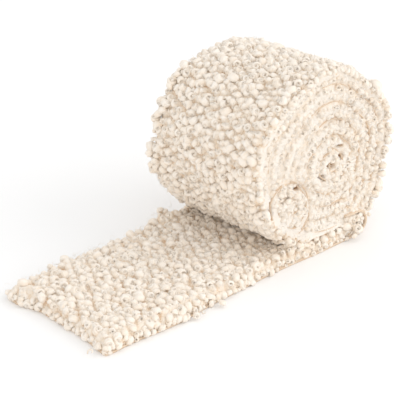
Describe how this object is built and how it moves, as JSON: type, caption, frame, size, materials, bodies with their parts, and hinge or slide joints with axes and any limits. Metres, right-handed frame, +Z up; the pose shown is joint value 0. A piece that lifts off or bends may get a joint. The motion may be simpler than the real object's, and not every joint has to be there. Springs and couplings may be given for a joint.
{
  "type": "faux fur trim roll",
  "caption": "Band of curly faux fur trim wound into a roll lying on its side, its loose end flat on the surface with the pile up.",
  "frame": {"origin": "bottom centre of the whole part's bounding box, on the surface it rests on", "axes": "+X along the loose end from its cut end to the roll, +Y across the band away from the near end of the roll, +Z up"},
  "size_m": [0.2696, 0.108, 0.1403],
  "materials": {
    "cream_pile": "matt curly pile of fine cream fibre, warmer and darker between the curls"
  },
  "bodies": {
    "root": {"fur_roll": "cream_pile", "loose_end": "cream_pile"}
  },
  "joints": []
}
